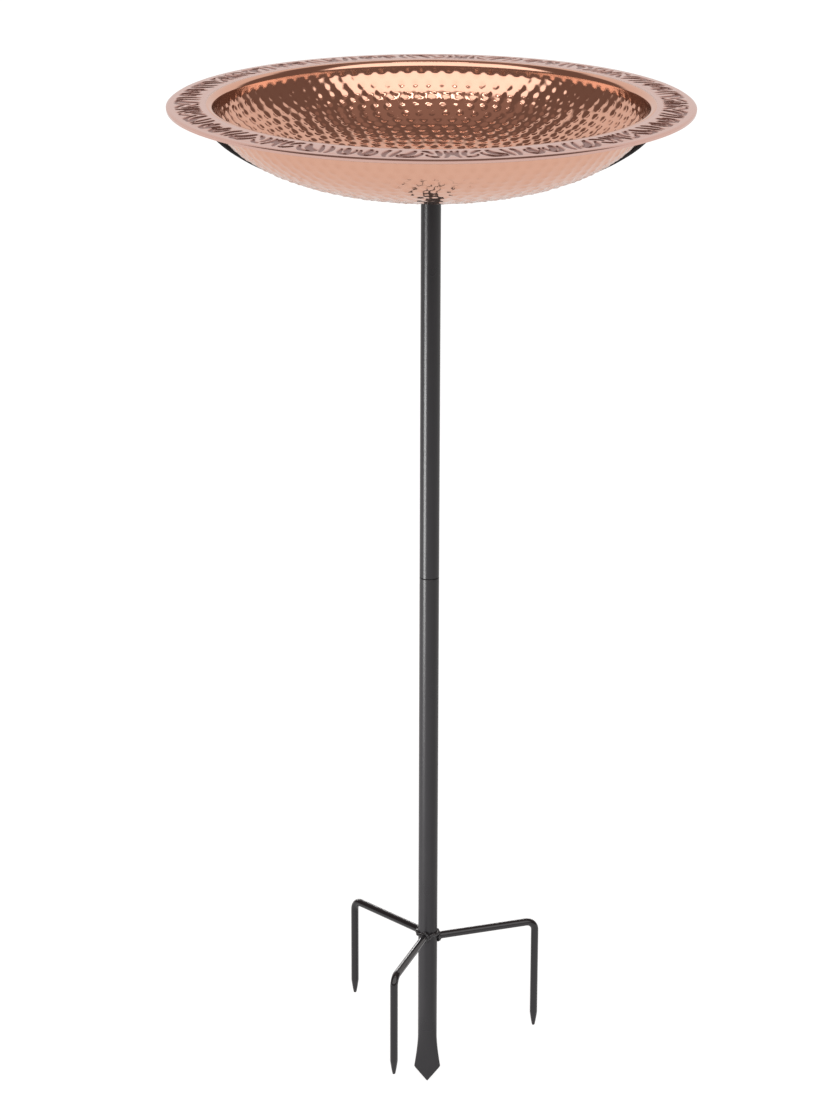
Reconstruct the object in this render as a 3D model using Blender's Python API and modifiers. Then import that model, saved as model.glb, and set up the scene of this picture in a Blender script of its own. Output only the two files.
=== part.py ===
"""Copper bird bath on a two-piece garden stake.

Frame: metres, +Z up. The origin is on the pole's axis at ground level, which is the underside of
the two left prong arms once the stake has been trodden in; the right arm is welded on 3 mm lower.
The flat bar that cradles the bowl lies along X, and the blade of the stake faces -Y and +Y.
"""
import math

import bmesh
import bpy
from mathutils import Matrix

# ---- driving dimensions (metres) ----
GAP = 0.0003                 # clearance kept between pieces that touch

# copper bowl, pressed from one sheet
RIM_HEIGHT = 0.710           # centre of the rolled edge above the ground
RIM_RADIUS = 0.2065          # outside of the rolled edge
SHEET = 0.0008               # copper thickness
BASIN_RADIUS = 0.1701        # where the basin's wall would stand upright
BASIN_DEPTH = 0.0656         # below the rolled edge's centre, to the sheet's middle
BASIN_POWER = 2.2            # roundness of the basin's section, 2 is an ellipse
WALL_TOP_RADIUS = 0.17005     # where the wall turns into the shoulder
FLANGE_INNER_RADIUS = 0.1755
FLANGE_CROWN = 0.0012        # how far the flange's inner edge stands above its outer edge
CURL_RADIUS = 0.0014         # rolled edge, to the sheet's middle
CURL_TURN = 290.0            # degrees the sheet is rolled round the wire

# round wire inside the rolled edge
WIRE_RADIUS = 0.0007

# flat-headed stud soldered under the bowl
STUD_HEAD_RADIUS = 0.015
STUD_HEAD = 0.0020
THREAD_RADIUS = 0.0040       # M8, here and at the pole's joint
STUD_REACH = 0.0180          # below its head

# flat bar that cradles the bowl
STRAP_WIDTH = 0.020
STRAP_THICKNESS = 0.0030
STRAP_HOLE_RADIUS = 0.0045
STRAP_BENDS = (              # middle of the bar: distance from the pole, drop below the rolled edge
    (0.018, 0.0701), (0.045, 0.0674), (0.075, 0.0635), (0.100, 0.0585), (0.124, 0.0512),
    (0.146, 0.0407), (0.166, 0.0262), (0.1877, 0.0),
)

# two lengths of round tube
TUBE_RADIUS = 0.0080
TUBE_BORE = 0.0065
JOINT_HEIGHT = 0.3215        # where the two lengths meet

# threaded sleeves fixed in the tubes' ends, and the stud that joins the two lengths
SLEEVE_LENGTH = 0.022
JOINT_STUD_LENGTH = 0.036

# flattened point of the lower tube
TIP_DEPTH = 0.135            # below the ground
BLADE_SHOULDER = 0.0140      # widest place, above the tip
BLADE_HALF_WIDTH = 0.0111
BLADE_HALF_THICKNESS = 0.0016
POINT_HALF_WIDTH = 0.0004
POINT_HALF_THICKNESS = 0.0006
FLARE_START = 0.0430         # above the tip, where the tube starts to widen
PRESS_START = 0.0720         # above the tip, where the press starts to flatten the tube

# three bent rods
ROD_RADIUS = 0.003175        # 1/4 in
PRONG_BEND = 0.0080          # bend radius at the rod's middle
PRONG_POINT = 0.0120         # length of the taper
PRONG_POINT_RADIUS = 0.0011
WELD_RADIUS = 0.0052
PRONGS = (                   # name, degrees from +X, reach to the upright, arm's height, point's depth
    ("prong_right", 20.0, 0.0971, -0.0002, 0.098),
    ("prong_back_left", 133.5, 0.0915, ROD_RADIUS, 0.084),
    ("prong_front_left", 252.5, 0.0915, ROD_RADIUS, 0.084),
)

TURN_STEPS = 48              # sides of the bowl
TUBE_STEPS = 32              # sides of the tubes and studs
ROD_SIDES = 12

# ---- heights that follow ----
BASIN_FLOOR = RIM_HEIGHT - BASIN_DEPTH - SHEET / 2
STUD_TOP = BASIN_FLOOR - GAP
STRAP_TOP = STUD_TOP - STUD_HEAD - GAP
POLE_TOP = STRAP_TOP - STRAP_THICKNESS - GAP
FLANGE_MIDDLE = RIM_HEIGHT + CURL_RADIUS


def clear_scene():
    for obj in list(bpy.data.objects):
        bpy.data.objects.remove(obj)


def new_collection(name):
    collection = bpy.data.collections.new(name)
    bpy.context.scene.collection.children.link(collection)
    return collection


def material(name, color, roughness, metallic):
    made = bpy.data.materials.new(name)
    made.use_nodes = True
    shader = made.node_tree.nodes["Principled BSDF"]
    shader.inputs["Base Color"].default_value = (*color, 1.0)
    shader.inputs["Roughness"].default_value = roughness
    shader.inputs["Metallic"].default_value = metallic
    return made


def add_object(name, data, finish):
    obj = bpy.data.objects.new(name, data)
    PARTS.objects.link(obj)
    obj.data.materials.append(finish)
    return obj


def turned(name, profile, steps, finish, closed=True):
    """A profile of (radius, height) points turned round the pole's axis."""
    points = [(r, 0.0, z) for r, z in profile]
    edges = [(i, i + 1) for i in range(len(points) - 1)]
    if closed:
        edges.append((len(points) - 1, 0))
    mesh = bpy.data.meshes.new(name)
    mesh.from_pydata(points, edges, [])
    obj = add_object(name, mesh, finish)
    screw = obj.modifiers.new("turn", "SCREW")
    screw.steps = steps
    screw.render_steps = steps
    screw.use_merge_vertices = True
    screw.merge_threshold = 0.00001
    screw.use_smooth_shade = True
    return obj


def take_new_object(name, collection):
    """Name the object that an operator has just made and move it to a collection."""
    obj = bpy.context.object
    obj.name = name
    for owner in list(obj.users_collection):
        owner.objects.unlink(obj)
    collection.objects.link(obj)
    return obj


def take_new_cutter(name):
    obj = take_new_object(name, CUTTERS)
    obj.hide_render = True
    obj.display_type = "WIRE"
    return obj


def cylinder_cutter(name, radius, low, high):
    bpy.ops.mesh.primitive_cylinder_add(vertices=TUBE_STEPS, radius=radius, depth=high - low,
                                        location=(0.0, 0.0, (high + low) / 2))
    return take_new_cutter(name)


def boolean(obj, other, operation):
    step = obj.modifiers.new(other.name, "BOOLEAN")
    step.object = other
    step.operation = operation
    step.solver = "EXACT"


# ---- copper bowl ----
def basin_depth_at(radius):
    """Depth of the basin's sheet below the rolled edge's centre."""
    return BASIN_DEPTH * math.sqrt(1.0 - (radius / BASIN_RADIUS) ** BASIN_POWER)


def shoulder_points(count):
    """A curve that leaves the wall along its slope and arrives level on the flange."""
    start_r, start_z = WALL_TOP_RADIUS, RIM_HEIGHT - basin_depth_at(WALL_TOP_RADIUS)
    step = 0.0002
    rise = basin_depth_at(WALL_TOP_RADIUS - step) - basin_depth_at(WALL_TOP_RADIUS)
    end_r, end_z = FLANGE_INNER_RADIUS, FLANGE_MIDDLE + FLANGE_CROWN
    corner_r = start_r + (end_z - start_z) * step / rise
    points = []
    for i in range(count + 1):
        t = i / count
        a, b, c = (1 - t) ** 2, 2 * t * (1 - t), t * t
        points.append((a * start_r + b * corner_r + c * end_r, a * start_z + b * end_z + c * end_z))
    return points


def bowl_profile():
    """The middle of the sheet, from the basin's centre out to the end of the rolled edge."""
    points = []
    steps = 11
    for i in range(steps):
        radius = WALL_TOP_RADIUS * math.sin(0.5 * math.pi * i / steps)
        points.append((radius, RIM_HEIGHT - basin_depth_at(radius)))
    points += shoulder_points(4)
    curl_centre = RIM_RADIUS - SHEET / 2 - CURL_RADIUS
    steps = 9
    for i in range(steps + 1):
        turn = math.radians(90.0 - CURL_TURN * i / steps)
        out, up = CURL_RADIUS * math.cos(turn), CURL_RADIUS * math.sin(turn)
        points.append((curl_centre + out, RIM_HEIGHT + up))
    return points


def make_bowl():
    bowl = turned("bowl", bowl_profile(), TURN_STEPS, COPPER, closed=False)
    shell = bowl.modifiers.new("sheet", "SOLIDIFY")
    shell.thickness = SHEET
    shell.offset = 0.0
    shell.use_even_offset = True


def make_rim_wire():
    middle = RIM_RADIUS - SHEET / 2 - CURL_RADIUS
    bpy.ops.mesh.primitive_torus_add(major_radius=middle, minor_radius=WIRE_RADIUS, major_segments=TURN_STEPS,
                                     minor_segments=8, location=(0.0, 0.0, RIM_HEIGHT))
    wire = take_new_object("rim_wire", PARTS)
    wire.data.materials.append(STEEL)


def make_bowl_stud():
    """Wide flat head soldered to the copper, with a threaded shank below it."""
    edge = 0.0006
    low = STUD_TOP - STUD_HEAD
    end = low - STUD_REACH
    profile = [
        (0.0, STUD_TOP), (STUD_HEAD_RADIUS - edge, STUD_TOP), (STUD_HEAD_RADIUS, STUD_TOP - edge),
        (STUD_HEAD_RADIUS, low), (THREAD_RADIUS, low), (THREAD_RADIUS, end + edge),
        (THREAD_RADIUS - edge, end), (0.0, end),
    ]
    turned("bowl_stud", profile, TUBE_STEPS, BRASS, closed=False)


# ---- cradle ----
def smooth_line(points, steps):
    """Catmull-Rom curve through the points, with the ends drawn straight on."""
    first = (2 * points[0][0] - points[1][0], 2 * points[0][1] - points[1][1])
    last = (2 * points[-1][0] - points[-2][0], 2 * points[-1][1] - points[-2][1])
    knots = [first, *points, last]
    line = []
    for p0, p1, p2, p3 in zip(knots, knots[1:], knots[2:], knots[3:]):
        for i in range(steps):
            t = i / steps
            weights = (
                -t + 2 * t * t - t ** 3,
                2 - 5 * t * t + 3 * t ** 3,
                t + 4 * t * t - 3 * t ** 3,
                t ** 3 - t * t,
            )
            near = list(zip(weights, (p0, p1, p2, p3)))
            line.append(tuple(sum(weight * point[axis] / 2 for weight, point in near) for axis in (0, 1)))
    line.append(points[-1])
    return line


def strap_line():
    """Middle of the flat bar on the +X side: level at the pole, then up along the bowl."""
    level = STRAP_TOP - STRAP_THICKNESS / 2
    bent = smooth_line([(r, RIM_HEIGHT - drop) for r, drop in STRAP_BENDS], 2)
    return [(0.0, level), *bent]


def make_cradle_strap():
    """Flat bar bent on its flat side, drawn as its side view and extruded to its width."""
    line = strap_line()
    upper, lower = [], []
    for i, (x, z) in enumerate(line):
        before = line[max(i - 1, 0)]
        after = line[min(i + 1, len(line) - 1)]
        run, rise = after[0] - before[0], after[1] - before[1]
        size = math.hypot(run, rise)
        off_x, off_z = -rise / size * STRAP_THICKNESS / 2, run / size * STRAP_THICKNESS / 2
        upper.append((x + off_x, z + off_z))
        lower.append((x - off_x, z - off_z))
    right = lower[1:] + upper[:0:-1]
    outline = right + [(-x, z) for x, z in reversed(right)]
    curve = bpy.data.curves.new("strap_side_view", "CURVE")
    curve.dimensions = "2D"
    curve.fill_mode = "BOTH"
    curve.extrude = STRAP_WIDTH / 2
    spline = curve.splines.new("POLY")
    spline.points.add(len(outline) - 1)
    for point, (x, z) in zip(spline.points, outline):
        point.co = (x, z, 0.0, 1.0)
    spline.use_cyclic_u = True
    guide = bpy.data.objects.new("strap_side_view", curve)
    PARTS.objects.link(guide)
    guide.rotation_euler = (math.pi / 2, 0.0, 0.0)
    strap = as_mesh(guide, "cradle_strap", BLACK)
    low, high = STRAP_TOP - 2 * STRAP_THICKNESS, STRAP_TOP + STRAP_THICKNESS
    boolean(strap, cylinder_cutter("strap_hole", STRAP_HOLE_RADIUS, low, high), "DIFFERENCE")


def as_mesh(guide, name, finish):
    """A curve object turned into a welded mesh object in the same place."""
    bpy.context.view_layer.update()
    graph = bpy.context.evaluated_depsgraph_get()
    mesh = bpy.data.meshes.new_from_object(guide.evaluated_get(graph))
    place = guide.matrix_world.copy()
    old = guide.data
    bpy.data.objects.remove(guide)
    bpy.data.curves.remove(old)
    work = bmesh.new()
    work.from_mesh(mesh)
    bmesh.ops.remove_doubles(work, verts=work.verts, dist=0.00001)
    bmesh.ops.recalc_face_normals(work, faces=work.faces)
    work.to_mesh(mesh)
    work.free()
    mesh.name = name
    mesh.materials.clear()
    obj = add_object(name, mesh, finish)
    obj.matrix_world = place
    return obj


# ---- pole ----
def make_upper_tube():
    low = JOINT_HEIGHT + GAP / 2
    profile = [(TUBE_RADIUS, POLE_TOP), (TUBE_RADIUS, low), (TUBE_BORE, low), (TUBE_BORE, POLE_TOP)]
    turned("upper_tube", profile, TUBE_STEPS, BLACK)


def make_sleeve(name, low, high):
    """Threaded sleeve that fills a tube's end."""
    outside = TUBE_BORE - GAP
    bore = THREAD_RADIUS + GAP
    turned(name, [(outside, high), (outside, low), (bore, low), (bore, high)], TUBE_STEPS, STEEL)


def make_joint():
    """Sleeves either side of the pole's joint, and the stud screwed through both."""
    make_sleeve("top_sleeve", POLE_TOP - SLEEVE_LENGTH, POLE_TOP)
    make_sleeve("upper_joint_sleeve", JOINT_HEIGHT + GAP / 2, JOINT_HEIGHT + SLEEVE_LENGTH)
    make_sleeve("lower_joint_sleeve", JOINT_HEIGHT - SLEEVE_LENGTH, JOINT_HEIGHT - GAP / 2)
    edge = 0.0006
    top, end = JOINT_HEIGHT + JOINT_STUD_LENGTH / 2, JOINT_HEIGHT - JOINT_STUD_LENGTH / 2
    profile = [
        (0.0, top), (THREAD_RADIUS - edge, top), (THREAD_RADIUS, top - edge),
        (THREAD_RADIUS, end + edge), (THREAD_RADIUS - edge, end), (0.0, end),
    ]
    turned("joint_stud", profile, TUBE_STEPS, STEEL, closed=False)


def smooth(t):
    t = min(max(t, 0.0), 1.0)
    return t * t * (3 - 2 * t)


def blade_size(above_tip):
    """Half width and half thickness of the lower tube at a height above its tip."""
    pressed = smooth((PRESS_START - above_tip) / (PRESS_START - BLADE_SHOULDER))
    half_thickness = TUBE_RADIUS + (BLADE_HALF_THICKNESS - TUBE_RADIUS) * pressed
    flare = min(max((FLARE_START - above_tip) / (FLARE_START - BLADE_SHOULDER), 0.0), 1.0)
    half_width = TUBE_RADIUS + (BLADE_HALF_WIDTH - TUBE_RADIUS) * flare ** 1.5
    if above_tip < BLADE_SHOULDER:
        cut_width = POINT_HALF_WIDTH + BLADE_HALF_WIDTH * above_tip / BLADE_SHOULDER
        half_width = min(BLADE_HALF_WIDTH, cut_width)
        half_thickness = min(half_thickness, POINT_HALF_THICKNESS + above_tip / 4)
    return half_width, half_thickness


def blade_section(half_width, half_thickness, z):
    """Round where the two sizes are equal, a flat bar with round edges where they are not."""
    points = []
    for i in range(TUBE_STEPS):
        turn = 2 * math.pi * i / TUBE_STEPS
        side = max(-1.0, min(1.0, 1.25 * math.cos(turn)))
        x = (half_width - half_thickness) * side + half_thickness * math.cos(turn)
        if half_width < half_thickness:
            x = half_width * math.cos(turn)
        points.append((x, half_thickness * math.sin(turn), z))
    return points


def make_lower_tube():
    """Loft from the round tube down to the flat point, bored from the top."""
    heights = [TIP_DEPTH + JOINT_HEIGHT - GAP / 2, PRESS_START]
    flare_steps = 9
    for i in range(1, flare_steps + 1):
        heights.append(PRESS_START + (BLADE_SHOULDER - PRESS_START) * i / flare_steps)
    heights += [BLADE_SHOULDER * 0.4, 0.0]
    tube = bmesh.new()
    rings = []
    for above_tip in heights:
        section = blade_section(*blade_size(above_tip), above_tip - TIP_DEPTH)
        rings.append([tube.verts.new(point) for point in section])
    for upper, lower in zip(rings, rings[1:]):
        for i in range(TUBE_STEPS):
            j = (i + 1) % TUBE_STEPS
            tube.faces.new((upper[i], lower[i], lower[j], upper[j]))
    tube.faces.new(rings[0])
    tube.faces.new(list(reversed(rings[-1])))
    bmesh.ops.recalc_face_normals(tube, faces=tube.faces)
    mesh = bpy.data.meshes.new("lower_tube")
    tube.to_mesh(mesh)
    tube.free()
    obj = add_object("lower_tube", mesh, BLACK)
    bore_end = PRESS_START - TIP_DEPTH
    boolean(obj, cylinder_cutter("lower_bore", TUBE_BORE, bore_end, JOINT_HEIGHT + TUBE_BORE), "DIFFERENCE")


# ---- prongs ----
def prong_line(reach, level, depth):
    """Middle of the rod in its own plane: (distance out, height, radius) from the pole to the point."""
    points = [(TUBE_RADIUS - 0.002, level, ROD_RADIUS)]
    centre_out, centre_up = reach - PRONG_BEND, level - PRONG_BEND
    bend_steps = 6
    for i in range(bend_steps + 1):
        turn = math.radians(90.0 - 90.0 * i / bend_steps)
        out, up = centre_out + PRONG_BEND * math.cos(turn), centre_up + PRONG_BEND * math.sin(turn)
        points.append((out, up, ROD_RADIUS))
    points.append((reach, -depth + PRONG_POINT, ROD_RADIUS))
    points.append((reach, -depth + PRONG_POINT * 0.35, ROD_RADIUS * 0.72))
    points.append((reach, -depth, PRONG_POINT_RADIUS))
    return points


def make_prong(name, azimuth, reach, level, depth):
    """Rod bent down at its outer end, with its weld to the pole, cut clear of the pole."""
    curve = bpy.data.curves.new(name + "_line", "CURVE")
    curve.dimensions = "3D"
    curve.bevel_depth = 1.0
    curve.bevel_resolution = ROD_SIDES // 4 - 1
    curve.use_fill_caps = True
    line = prong_line(reach, level, depth)
    spline = curve.splines.new("POLY")
    spline.points.add(len(line) - 1)
    for point, (out, up, radius) in zip(spline.points, line):
        point.co = (out, 0.0, up, 1.0)
        point.radius = radius
    guide = bpy.data.objects.new(name + "_line", curve)
    PARTS.objects.link(guide)
    prong = as_mesh(guide, name, BLACK)
    bpy.ops.mesh.primitive_uv_sphere_add(segments=12, ring_count=8, radius=1.0)
    weld = take_new_cutter(name + "_weld")
    weld.data.transform(Matrix.Diagonal((WELD_RADIUS * 0.8, WELD_RADIUS, WELD_RADIUS, 1.0)))
    spin = Matrix.Rotation(math.radians(azimuth), 4, "Z")
    prong.data.transform(spin)
    weld.data.transform(spin @ Matrix.Translation((TUBE_RADIUS + 0.001, 0.0, level - 0.0006)))
    boolean(prong, weld, "UNION")
    boolean(prong, PRONG_CLEARANCE, "DIFFERENCE")


clear_scene()
PARTS = new_collection("bird_bath")
CUTTERS = new_collection("cutters")
COPPER = material("copper", (0.86, 0.46, 0.33), 0.18, 1.0)
BRASS = material("brass", (0.78, 0.60, 0.30), 0.35, 1.0)
BLACK = material("black_paint", (0.045, 0.043, 0.045), 0.42, 0.0)
STEEL = material("steel", (0.55, 0.55, 0.56), 0.35, 1.0)

make_bowl()
make_rim_wire()
make_bowl_stud()
make_cradle_strap()
make_upper_tube()
make_joint()
make_lower_tube()
PRONG_CLEARANCE = cylinder_cutter("prong_clearance", TUBE_RADIUS + GAP, -0.03, 0.03)
for prong in PRONGS:
    make_prong(*prong)
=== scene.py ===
"""Copper bird bath on a pronged garden stake: fine meshes, finishes, light and camera."""
import bisect
from math import cos, dist, hypot, log, pi, radians, sin, sqrt

import bmesh
import bpy
from mathutils import Matrix, Vector


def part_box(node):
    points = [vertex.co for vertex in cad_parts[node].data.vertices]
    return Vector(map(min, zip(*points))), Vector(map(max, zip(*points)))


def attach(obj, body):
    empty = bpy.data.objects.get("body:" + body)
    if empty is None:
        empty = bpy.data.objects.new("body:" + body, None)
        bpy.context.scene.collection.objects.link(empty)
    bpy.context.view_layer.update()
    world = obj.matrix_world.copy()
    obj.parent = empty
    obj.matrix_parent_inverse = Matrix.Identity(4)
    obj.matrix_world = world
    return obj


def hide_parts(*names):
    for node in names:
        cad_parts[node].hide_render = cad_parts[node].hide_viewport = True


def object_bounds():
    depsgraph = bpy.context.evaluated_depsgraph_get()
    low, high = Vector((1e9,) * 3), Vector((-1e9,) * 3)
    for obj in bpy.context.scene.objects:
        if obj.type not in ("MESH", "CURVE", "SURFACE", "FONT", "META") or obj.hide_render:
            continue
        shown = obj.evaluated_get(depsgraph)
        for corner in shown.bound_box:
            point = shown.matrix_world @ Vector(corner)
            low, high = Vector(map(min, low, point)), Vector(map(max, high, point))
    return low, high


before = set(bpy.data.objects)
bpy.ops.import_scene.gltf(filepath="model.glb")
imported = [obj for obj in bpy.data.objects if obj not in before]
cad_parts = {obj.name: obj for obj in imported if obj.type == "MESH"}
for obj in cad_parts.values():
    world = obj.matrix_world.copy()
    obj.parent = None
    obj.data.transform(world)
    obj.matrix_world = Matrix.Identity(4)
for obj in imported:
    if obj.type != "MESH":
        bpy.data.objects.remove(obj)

CAD_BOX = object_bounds()
SCENE = bpy.context.scene

# ---- places taken from the frame ----
BOWL_LOW, BOWL_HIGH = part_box("bowl")
WIRE_LOW, WIRE_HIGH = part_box("rim_wire")
STRAP_LOW, STRAP_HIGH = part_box("cradle_strap")
UPPER_LOW, UPPER_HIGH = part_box("upper_tube")
LOWER_LOW, LOWER_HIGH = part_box("lower_tube")
BOWL_STUD_LOW, BOWL_STUD_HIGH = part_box("bowl_stud")
JOINT_STUD_LOW, JOINT_STUD_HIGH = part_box("joint_stud")

# ---- copper sheet ----
SHEET = 0.0008
RIM_HEIGHT = (WIRE_LOW.z + WIRE_HIGH.z) / 2
RIM_RADIUS = BOWL_HIGH.x
CURL_RADIUS = 0.0014
CURL_TURN = 290.0
CURL_CENTRE = RIM_RADIUS - SHEET / 2 - CURL_RADIUS
BASIN_DEPTH = RIM_HEIGHT - BOWL_LOW.z - SHEET / 2
BASIN_RADIUS = 0.1701
BASIN_POWER = 2.2
WALL_TOP_RADIUS = 0.17005
FLANGE_INNER_RADIUS = 0.1755
FLANGE_HEIGHT = RIM_HEIGHT + CURL_RADIUS
FLANGE_CROWN = 0.0012
BASIN_TOP_SPACING = 0.00135
BASIN_UNDER_SPACING = 0.0021
FLANGE_TOP_SPACING = 0.00078
FLANGE_UNDER_SPACING = 0.0024
CURL_SPACING = 0.0016

# ---- hammer marks ----
ROW_PITCH = 0.00735
TOP_ROW_DROP = 0.0080
MARK_SPACING = 0.0113
MARK_RADIUS = 0.0045
MARK_DEPTH = 0.00090
MARK_WANDER = 0.0006
STRIKE_FORCE = (0.7, 1.15)      # least and greatest share of the depth
HAMMER_SEED = 4
LIGHTER_FROM = RIM_HEIGHT - 0.018
LIGHTER_TO = RIM_HEIGHT - 0.006

# ---- embossed border ----
BORDER_INNER_RADIUS = 0.1785
BORDER_OUTER_RADIUS = 0.2008
BORDER_MARGIN = 0.0016
BORDER_RELIEF = 0.00025
BORDER_SINK = 0.00060
STROKE_SOFTNESS = 0.0011

# ---- flat bar under the bowl ----
STRAP_WIDTH = STRAP_HIGH.y - STRAP_LOW.y
STRAP_THICKNESS = 0.0030
STRAP_HOLE_RADIUS = 0.0045
STRAP_LEVEL = STRAP_LOW.z + STRAP_THICKNESS / 2
STRAP_EDGE = 0.0006
STRAP_FLAT_REACH = 0.0085
STRAP_BENDS = (                 # reach from the axis, drop below the rim
    (0.018, 0.0701), (0.045, 0.0674), (0.075, 0.0635), (0.100, 0.0585), (0.124, 0.0512),
    (0.146, 0.0407), (0.166, 0.0262), (0.1877, 0.0),
)

# ---- tubes, studs and rods ----
TUBE_RADIUS = UPPER_HIGH.x
TUBE_BORE = 0.0065
TUBE_EDGE = 0.00035
SLEEVE_RADIUS = 0.0062
SLEEVE_BORE = 0.0043
SLEEVE_EDGE = 0.0003
THREAD_RADIUS = 0.0040
THREAD_PITCH = 0.00125
THREAD_DEPTH = 0.00065
THREAD_STEP = 0.00016
STUD_EDGE = 0.0006
STUD_HEAD = 0.0020
BLADE_SHOULDER = 0.0140
BLADE_HALF_WIDTH = 0.0111
BLADE_HALF_THICKNESS = 0.0016
POINT_HALF_WIDTH = 0.0004
POINT_HALF_THICKNESS = 0.0006
FLARE_START = 0.0430
PRESS_START = 0.0720
ROD_RADIUS = 0.003175
ROD_STEP = 0.0012
ROD_START = TUBE_RADIUS - 0.0015
WELD_RING_RADIUS = 0.0033
WELD_HUB_RADIUS = TUBE_RADIUS + 0.001
WELD_POLE_RADIUS = TUBE_RADIUS + 0.0004
WELD_LEVEL = ROD_RADIUS + 0.0015
WELD_ARC_START = radians(133.5)
WELD_ARC_SWEEP = radians(246.0)
BEAD_RADIUS = 0.0016
BEAD_GAP = 0.0015
BEAD_WANDER = 0.0006
BEAD_SIZES = (0.75, 1.25)       # least and greatest share of the bead's radius
WELD_GRAIN = 0.0004
WELD_SEED = 7
PRONG_BEND = 0.0080
PRONG_POINT = 0.0120
PRONG_POINT_RADIUS = 0.0011
PRONGS = (                      # name, degrees from +X, reach to the upright, height of the arm
    ("prong_right", 20.0, 0.0971, -0.0002),
    ("prong_back_left", 133.5, 0.0915, ROD_RADIUS),
    ("prong_front_left", 252.5, 0.0915, ROD_RADIUS),
)


# ==== node helpers ====
def node(tree, kind, inputs=None, **settings):
    """A new node with its settings, and its inputs linked or set."""
    made = tree.nodes.new(kind)
    for name, value in settings.items():
        setattr(made, name, value)
    for key, value in (inputs or {}).items():
        socket = made.inputs[key]
        if isinstance(value, bpy.types.NodeSocket):
            tree.links.new(value, socket)
        else:
            socket.default_value = value
    return made


def output(tree, kind, inputs=None, **settings):
    """The first output of a new node."""
    return node(tree, kind, inputs, **settings).outputs[0]


def calc(tree, operation, *values):
    """One step of arithmetic."""
    return output(tree, "ShaderNodeMath", dict(enumerate(values)), operation=operation)


def times(tree, product, *factors):
    for factor in factors:
        product = calc(tree, "MULTIPLY", product, factor)
    return product


def calc_vector(tree, operation, *values):
    return output(tree, "ShaderNodeVectorMath", dict(enumerate(values)), operation=operation)


def scaled(tree, vector, factor):
    return output(tree, "ShaderNodeVectorMath", {0: vector, "Scale": factor}, operation="SCALE")


def length(tree, vector):
    return node(tree, "ShaderNodeVectorMath", {0: vector}, operation="LENGTH").outputs["Value"]


def joined(tree, x=0.0, y=0.0, z=0.0):
    return output(tree, "ShaderNodeCombineXYZ", {"X": x, "Y": y, "Z": z})


def split(tree, vector):
    return node(tree, "ShaderNodeSeparateXYZ", {0: vector}).outputs


def ramp(tree, value, start, end, low=0.0, high=1.0, kind="LINEAR"):
    """Low at the start, high at the end, in proportion between them and held beyond them."""
    return output(tree, "ShaderNodeMapRange", {
        "Value": value, "From Min": start, "From Max": end, "To Min": low, "To Max": high,
    }, interpolation_type=kind)


def random_shift(tree, half_box, seed, size):
    """A random vector within a box, given by its half sides, times a size."""
    shift = node(tree, "FunctionNodeRandomValue", {"Seed": seed}, data_type="FLOAT_VECTOR")
    shift.inputs[0].default_value = tuple(-side for side in half_box)
    shift.inputs[1].default_value = half_box
    return scaled(tree, shift.outputs[0], size)


def random_value(tree, low, high, seed, **which):
    return node(tree, "FunctionNodeRandomValue", {"Min": low, "Max": high, "Seed": seed, **which},
                data_type="FLOAT").outputs["Value"]


def shape_of(tree, item):
    return node(tree, "GeometryNodeObjectInfo", {"Object": item}).outputs["Geometry"]


def circle(tree, points, radius):
    return output(tree, "GeometryNodeCurvePrimitiveCircle", {"Resolution": points, "Radius": radius})


def even_curve(tree, curve, step):
    return output(tree, "GeometryNodeResampleCurve", {"Curve": curve, "Length": step}, mode="LENGTH")


def placed_on(tree, points, item, rotation, scale=(1.0, 1.0, 1.0)):
    return output(tree, "GeometryNodeInstanceOnPoints", {
        "Points": points, "Instance": item, "Rotation": rotation, "Scale": scale,
    })


def moved_whole(tree, geometry, place=(0.0, 0.0, 0.0), turn=(0.0, 0.0, 0.0)):
    return output(tree, "GeometryNodeTransform", {
        "Geometry": geometry, "Translation": place, "Rotation": turn,
    })


def join_geometry(tree, *parts):
    joint = node(tree, "GeometryNodeJoinGeometry")
    for part in parts:
        tree.links.new(part, joint.inputs[0])
    return output(tree, "GeometryNodeRealizeInstances", {"Geometry": joint.outputs[0]})


def moved(tree, geometry, offset):
    return output(tree, "GeometryNodeSetPosition", {"Geometry": geometry, "Offset": offset})


def keep_strike(tree, geometry, value):
    """Store how deep the sheet is struck, for its finish to read."""
    inputs = {"Geometry": geometry, "Name": "strike", "Value": value}
    return output(tree, "GeometryNodeStoreNamedAttribute", inputs, data_type="FLOAT", domain="POINT")


def new_tree(name, kind, inputs, outputs):
    """A node group with named inputs and outputs: (tree, its input sockets, its output node)."""
    tree = bpy.data.node_groups.new(name, kind)
    for label, socket_type in inputs:
        tree.interface.new_socket(label, in_out="INPUT", socket_type=socket_type)
    for label, socket_type in outputs:
        tree.interface.new_socket(label, in_out="OUTPUT", socket_type=socket_type)
    return tree, tree.nodes.new("NodeGroupInput").outputs, tree.nodes.new("NodeGroupOutput")


GEOMETRY = ("Geometry", "NodeSocketGeometry")
FINISH = ("Finish", "NodeSocketMaterial")
FLOAT = "NodeSocketFloat"
INT = "NodeSocketInt"


def finish_tree(tree, inputs, result, geometry):
    """Close a geometry tree: real geometry with its material."""
    real = output(tree, "GeometryNodeRealizeInstances", {"Geometry": geometry})
    coated = output(tree, "GeometryNodeSetMaterial", {"Geometry": real, "Material": inputs["Finish"]})
    tree.links.new(coated, result.inputs[0])
    return tree


def geometry_tree(name, *sockets):
    """A tree that takes geometry, the sockets (a bare name is a measure) and a finish."""
    named = [(socket, FLOAT) if isinstance(socket, str) else socket for socket in sockets]
    return new_tree(name, "GeometryNodeTree", [GEOMETRY, *named, FINISH], [GEOMETRY])


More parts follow.
